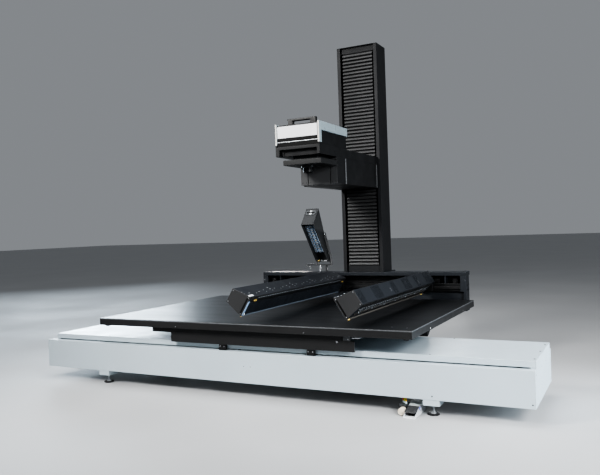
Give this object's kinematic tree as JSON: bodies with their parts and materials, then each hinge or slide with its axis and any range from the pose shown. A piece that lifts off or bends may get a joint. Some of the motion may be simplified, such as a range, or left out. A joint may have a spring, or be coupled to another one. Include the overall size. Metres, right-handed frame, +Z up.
{
  "type": "large-format table scanner",
  "caption": "Large-format scanner: a long white base carries a wide black table that slides under light bars and a camera head on a slatted lift column.",
  "frame": {"origin": "centre of the bounding box on the floor plane, with the table, head and lights where the picture shows them", "axes": "+X along the base to the right seen from the front, +Y from the front to the back, +Z up"},
  "size_m": [4, 2.178, 2.924],
  "materials": {
    "white_sheet": "satin powder coat",
    "white_cover": "satin powder coat",
    "inner_steel": "primed steel",
    "rail_steel": "ground steel",
    "belt_rubber": "matte",
    "motor_black": "satin paint",
    "foot_black": "matte",
    "black_sheet": "satin powder coat",
    "black_profile": "black anodised",
    "table_black": "black satin laminate on board",
    "column_grey": "fine textured powder coat",
    "slat_grey": "grey coated slats",
    "arm_grey": "charcoal coated aluminium",
    "head_silver": "bright satin",
    "plate_white": "gloss",
    "handle_black": "matte",
    "lens_black": "black anodised",
    "light_glass": "clear",
    "led_board": "white circuit board with lamps",
    "pedal_white": "satin paint",
    "pedal_grey": "ribbed rubbery plastic",
    "valve_cream": "matte",
    "tube_colour": "coloured hose",
    "inlet_black": "matte"
  },
  "bodies": {
    "base": {"base_side_panels": "white_sheet", "base_end_plates": "white_sheet", "base_floor": "white_sheet", "top_cover": "white_cover", "cover_posts": "inner_steel", "rail_beams": "inner_steel", "guide_rails": "rail_steel", "drive_belt": "belt_rubber", "drive_motor": "motor_black", "pulley_brackets": "inner_steel", "foot_brackets": "white_sheet", "levelling_feet": "foot_black", "rear_base": "black_sheet", "column_plinth": "black_sheet", "bridge_top": "black_sheet", "bridge_beam": "black_sheet", "bridge_ends": "black_sheet", "light_rail": "rail_steel", "power_inlet": "inlet_black", "column_sides": "column_grey", "column_back": "column_grey", "column_cap": "column_grey", "slat_curtain": "slat_grey", "lift_rails": "rail_steel", "lift_drive": "motor_black", "lamp_stand": "black_sheet", "pedal_base": "pedal_white", "pedal_valve": "valve_cream", "pedal_tubes": "tube_colour"},
    "table": {"table_board": "table_black", "table_edges": "black_profile", "subframe": "black_profile", "aprons": "black_sheet", "slot_brackets": "black_sheet", "bearing_blocks": "rail_steel", "table_braces": "black_sheet"},
    "drive_pulley": {"drive_pulley": "rail_steel"},
    "idler_pulley": {"idler_pulley": "rail_steel"},
    "head": {"lift_carriage": "arm_grey", "arm_box": "arm_grey", "arm_front_box": "arm_grey", "upper_arm": "arm_grey", "head_core": "arm_grey", "head_side_frames": "head_silver", "head_front_plate": "plate_white", "head_handle": "handle_black", "lens_plate": "arm_grey", "lens_barrel": "lens_black"},
    "lift_screw": {"lift_screw": "rail_steel"},
    "left_slider": {"left_light_slider": "black_profile"},
    "left_light": {"left_light_housing": "black_profile", "left_light_ends": "black_profile", "left_light_window": "light_glass"},
    "right_slider": {"right_light_slider": "black_profile"},
    "right_light": {"right_light_housing": "black_profile", "right_light_ends": "black_profile", "right_light_window": "light_glass"},
    "rear_lamp": {"lamp_housing": "black_profile", "lamp_led_panel": "led_board"},
    "treadle": {"pedal_treadle": "pedal_grey"}
  },
  "joints": [
    {"name": "table_slide", "type": "slide", "parent": "base", "child": "table", "axis": [1, 0, 0], "range_m": [-1.45, 1.4]},
    {"name": "drive_spin", "type": "hinge", "parent": "base", "child": "drive_pulley", "pos_m": [1.84, -0.803, 0.219], "axis": [0, 1, 0], "continuous": true},
    {"name": "idler_spin", "type": "hinge", "parent": "base", "child": "idler_pulley", "pos_m": [-1.84, -0.803, 0.219], "axis": [0, 1, 0], "continuous": true},
    {"name": "head_lift", "type": "slide", "parent": "base", "child": "head", "axis": [0, 0, 1], "range_m": [-0.65, 0.8]},
    {"name": "screw_spin", "type": "hinge", "parent": "base", "child": "lift_screw", "pos_m": [0.235, 0.865, 1.8], "axis": [0, 0, 1], "continuous": true},
    {"name": "left_light_slide", "type": "slide", "parent": "base", "child": "left_slider", "axis": [1, 0, 0], "range_m": [-0.6, 0.08]},
    {"name": "left_light_tilt", "type": "hinge", "parent": "left_slider", "child": "left_light", "pos_m": [-0.013, 0.732, 0.71], "axis": [0, 1, 0], "range_deg": [-20, 30]},
    {"name": "right_light_slide", "type": "slide", "parent": "base", "child": "right_slider", "axis": [1, 0, 0], "range_m": [-0.45, 0.18]},
    {"name": "right_light_tilt", "type": "hinge", "parent": "right_slider", "child": "right_light", "pos_m": [0.852, 0.732, 0.71], "axis": [0, -1, 0], "range_deg": [-20, 30]},
    {"name": "rear_lamp_tilt", "type": "hinge", "parent": "base", "child": "rear_lamp", "pos_m": [-0.215, 0.732, 1.152], "axis": [1, 0, 0], "range_deg": [-20, 20]},
    {"name": "treadle_press", "type": "hinge", "parent": "base", "child": "treadle", "pos_m": [1.251, -0.979, 0.038], "axis": [1, 0, 0], "range_deg": [0, 8], "stiffness_Nm_per_rad": 12, "springref_deg": -5.73}
  ],
  "couplings": [
    {"joint": "drive_spin", "follows": "table_slide", "rad_per_m": 25},
    {"joint": "idler_spin", "follows": "table_slide", "rad_per_m": 25},
    {"joint": "screw_spin", "follows": "head_lift", "rad_per_m": -251.33}
  ]
}
